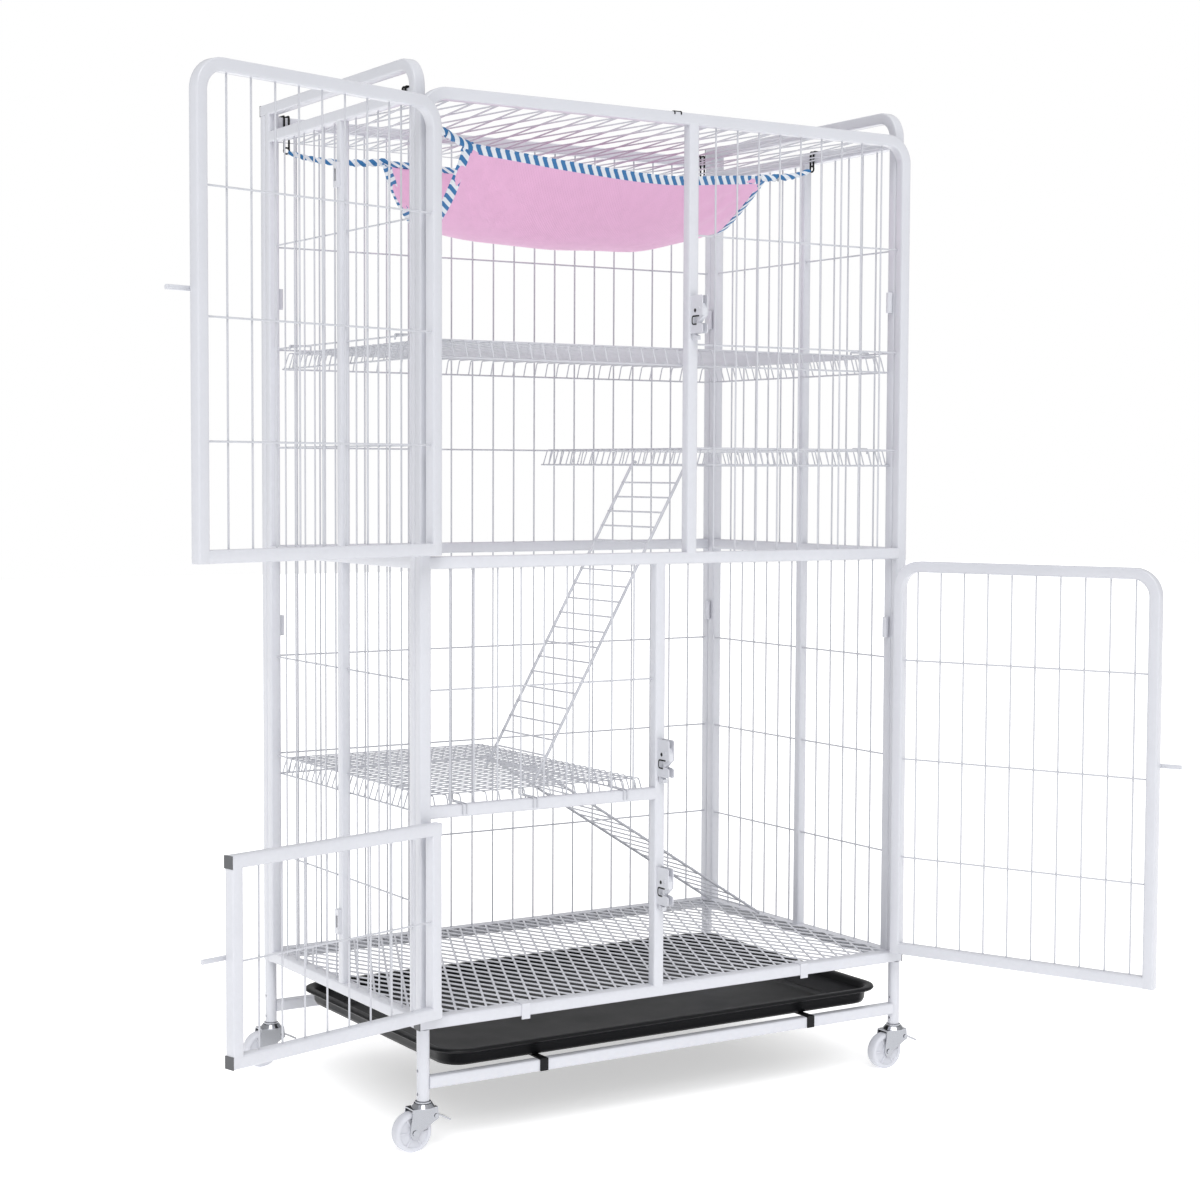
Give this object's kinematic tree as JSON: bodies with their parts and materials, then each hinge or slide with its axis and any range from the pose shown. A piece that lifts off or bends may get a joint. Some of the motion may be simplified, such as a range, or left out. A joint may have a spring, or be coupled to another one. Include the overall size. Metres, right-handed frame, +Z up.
{
  "type": "multi-tier wire cat playpen cage",
  "caption": "White wire cat playpen on casters with doors open, wire shelves, ladders, a pull-out tray and a hanging cloth hammock.",
  "frame": {"origin": "On the ground, under the middle of the whole outline with the doors standing open as pictured.", "axes": "+X to the right along the front, +Y from the front into the depth, +Z up."},
  "size_m": [1.277, 0.86, 1.3345],
  "materials": {
    "white_paint": "powder-coated square steel tube",
    "white_wire": "powder-coated steel wire and expanded metal",
    "black_plastic": "satin moulded plastic",
    "grey_plastic": "moulded tube plugs",
    "pink_cloth": "woven hammock cloth with a striped binding",
    "zinc": "bright zinc-plated pressed steel",
    "white_nylon": "moulded nylon wheel"
  },
  "bodies": {
    "cage": {"front_frame": "white_paint", "front_mesh_upper": "white_wire", "front_mesh_lower": "white_wire", "back_panel": "white_paint", "left_panel": "white_paint", "right_panel": "white_paint", "frame_plugs": "grey_plastic", "corner_legs": "white_paint", "low_rails": "white_paint", "tray_straps": "black_plastic", "roof_net": "white_wire", "floor_net": "white_wire", "shelf_upper": "white_wire", "shelf_middle": "white_wire", "shelf_lower": "white_wire", "lower_ladder": "white_wire", "hinge_post_leaves": "white_paint", "latch_brackets": "white_paint", "caster_kingpins": "zinc", "hammock": "pink_cloth", "hammock_hooks": "black_plastic", "deck_clips": "white_paint", "roof_clip": "black_plastic", "slot_brackets": "white_paint", "panel_connectors": "white_paint"},
    "upper_door": {"upper_door": "white_paint", "upper_door_leaves": "white_paint", "upper_door_striker": "white_paint"},
    "small_door": {"small_door": "white_paint", "small_door_leaves": "white_paint", "small_door_striker": "white_paint", "small_door_plugs": "grey_plastic"},
    "lower_door": {"lower_door": "white_paint", "lower_door_leaves": "white_paint", "lower_door_striker": "white_paint"},
    "upper_catch": {"upper_catch": "white_paint"},
    "small_catch": {"small_catch": "white_paint"},
    "lower_catch": {"lower_catch": "white_paint"},
    "upper_ladder": {"upper_ladder": "white_wire"},
    "tray": {"litter_tray": "black_plastic"},
    "fork_front_left": {"caster_fork_front_left": "zinc"},
    "wheel_front_left": {"caster_wheel_front_left": "white_nylon"},
    "brake_front_left": {"caster_brake_front_left": "zinc"},
    "fork_rear_left": {"caster_fork_rear_left": "zinc"},
    "wheel_rear_left": {"caster_wheel_rear_left": "white_nylon"},
    "brake_rear_left": {"caster_brake_rear_left": "zinc"},
    "fork_front_right": {"caster_fork_front_right": "zinc"},
    "wheel_front_right": {"caster_wheel_front_right": "white_nylon"},
    "brake_front_right": {"caster_brake_front_right": "zinc"},
    "fork_rear_right": {"caster_fork_rear_right": "zinc"},
    "wheel_rear_right": {"caster_wheel_rear_right": "white_nylon"},
    "brake_rear_right": {"caster_brake_rear_right": "zinc"}
  },
  "joints": [
    {"name": "upper_door_swing", "type": "hinge", "parent": "cage", "child": "upper_door", "pos_m": [-0.25591, -0.05498, 0.9695], "axis": [0, 0, -1], "range_deg": [-163, 17]},
    {"name": "small_door_swing", "type": "hinge", "parent": "cage", "child": "small_door", "pos_m": [-0.25591, -0.05498, 0.283], "axis": [0, 0, -1], "range_deg": [-164, 16]},
    {"name": "lower_door_swing", "type": "hinge", "parent": "cage", "child": "lower_door", "pos_m": [0.47109, -0.05498, 0.44], "axis": [0, 0, 1], "range_deg": [-113, 67]},
    {"name": "upper_catch_lift", "type": "slide", "parent": "cage", "child": "upper_catch", "axis": [0, 0, 1], "range_m": [0, 0.009]},
    {"name": "small_catch_lift", "type": "slide", "parent": "cage", "child": "small_catch", "axis": [0, 0, 1], "range_m": [0, 0.009]},
    {"name": "lower_catch_lift", "type": "slide", "parent": "cage", "child": "lower_catch", "axis": [0, 0, 1], "range_m": [0, 0.009]},
    {"name": "tray_slide", "type": "slide", "parent": "cage", "child": "tray", "axis": [0, -1, 0], "range_m": [0, 0.4]},
    {"name": "upper_ladder_swing", "type": "hinge", "parent": "cage", "child": "upper_ladder", "pos_m": [0.16379, 0.07852, 0.8448], "axis": [0, 1, 0], "range_deg": [0, 25]},
    {"name": "swivel_front_left", "type": "hinge", "parent": "cage", "child": "fork_front_left", "pos_m": [-0.26491, -0.04498, 0.0526], "axis": [0, 0, 1], "continuous": true},
    {"name": "roll_front_left", "type": "hinge", "parent": "fork_front_left", "child": "wheel_front_left", "pos_m": [-0.28091, -0.04498, 0.025], "axis": [0, 1, 0], "continuous": true},
    {"name": "brake_press_front_left", "type": "hinge", "parent": "fork_front_left", "child": "brake_front_left", "pos_m": [-0.25191, -0.04498, 0.043], "axis": [0, 1, 0], "range_deg": [0, 12]},
    {"name": "swivel_rear_left", "type": "hinge", "parent": "cage", "child": "fork_rear_left", "pos_m": [-0.26491, 0.41502, 0.0526], "axis": [0, 0, 1], "continuous": true},
    {"name": "roll_rear_left", "type": "hinge", "parent": "fork_rear_left", "child": "wheel_rear_left", "pos_m": [-0.28091, 0.41502, 0.025], "axis": [0, 1, 0], "continuous": true},
    {"name": "brake_press_rear_left", "type": "hinge", "parent": "fork_rear_left", "child": "brake_rear_left", "pos_m": [-0.25191, 0.41502, 0.043], "axis": [0, 1, 0], "range_deg": [0, 12]},
    {"name": "swivel_front_right", "type": "hinge", "parent": "cage", "child": "fork_front_right", "pos_m": [0.48009, -0.04498, 0.0526], "axis": [0, 0, 1], "continuous": true},
    {"name": "roll_front_right", "type": "hinge", "parent": "fork_front_right", "child": "wheel_front_right", "pos_m": [0.46409, -0.04498, 0.025], "axis": [0, 1, 0], "continuous": true},
    {"name": "brake_press_front_right", "type": "hinge", "parent": "fork_front_right", "child": "brake_front_right", "pos_m": [0.49309, -0.04498, 0.043], "axis": [0, 1, 0], "range_deg": [0, 12]},
    {"name": "swivel_rear_right", "type": "hinge", "parent": "cage", "child": "fork_rear_right", "pos_m": [0.48009, 0.41502, 0.0526], "axis": [0, 0, 1], "continuous": true},
    {"name": "roll_rear_right", "type": "hinge", "parent": "fork_rear_right", "child": "wheel_rear_right", "pos_m": [0.46409, 0.41502, 0.025], "axis": [0, 1, 0], "continuous": true},
    {"name": "brake_press_rear_right", "type": "hinge", "parent": "fork_rear_right", "child": "brake_rear_right", "pos_m": [0.49309, 0.41502, 0.043], "axis": [0, 1, 0], "range_deg": [0, 12]}
  ]
}
